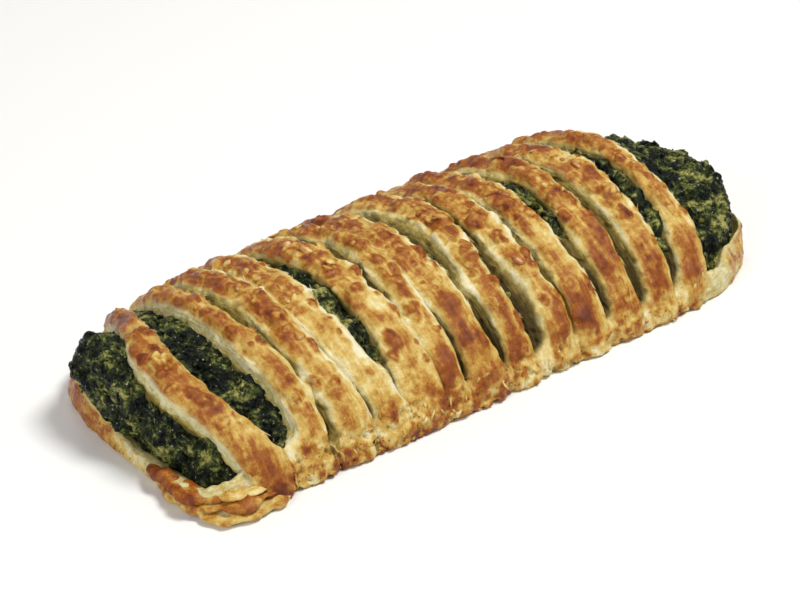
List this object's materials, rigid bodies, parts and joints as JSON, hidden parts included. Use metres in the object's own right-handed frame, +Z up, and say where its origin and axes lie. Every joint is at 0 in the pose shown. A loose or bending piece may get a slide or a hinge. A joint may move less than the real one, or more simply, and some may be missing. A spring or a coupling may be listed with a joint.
{
  "type": "spinach strudel",
  "caption": "Slatted loaf of golden puff pastry baked around a chopped spinach filling that shows between the slats and at both open ends.",
  "frame": {"origin": "centre of the loaf's footprint, on the surface it rests on", "axes": "+X along the loaf from the end whose cut face shows to the other end, +Y away from the near long side, +Z up"},
  "size_m": [0.18, 0.0838, 0.0303],
  "materials": {
    "pastry": "baked puff pastry, golden with orange-brown egg-washed tops, pale laminated cut sides and a crumbly foot",
    "spinach": "chopped cooked spinach, very dark green with yellow-green bits and small moist highlights"
  },
  "bodies": {
    "root": {"pastry": "pastry", "filling": "spinach"}
  },
  "joints": []
}
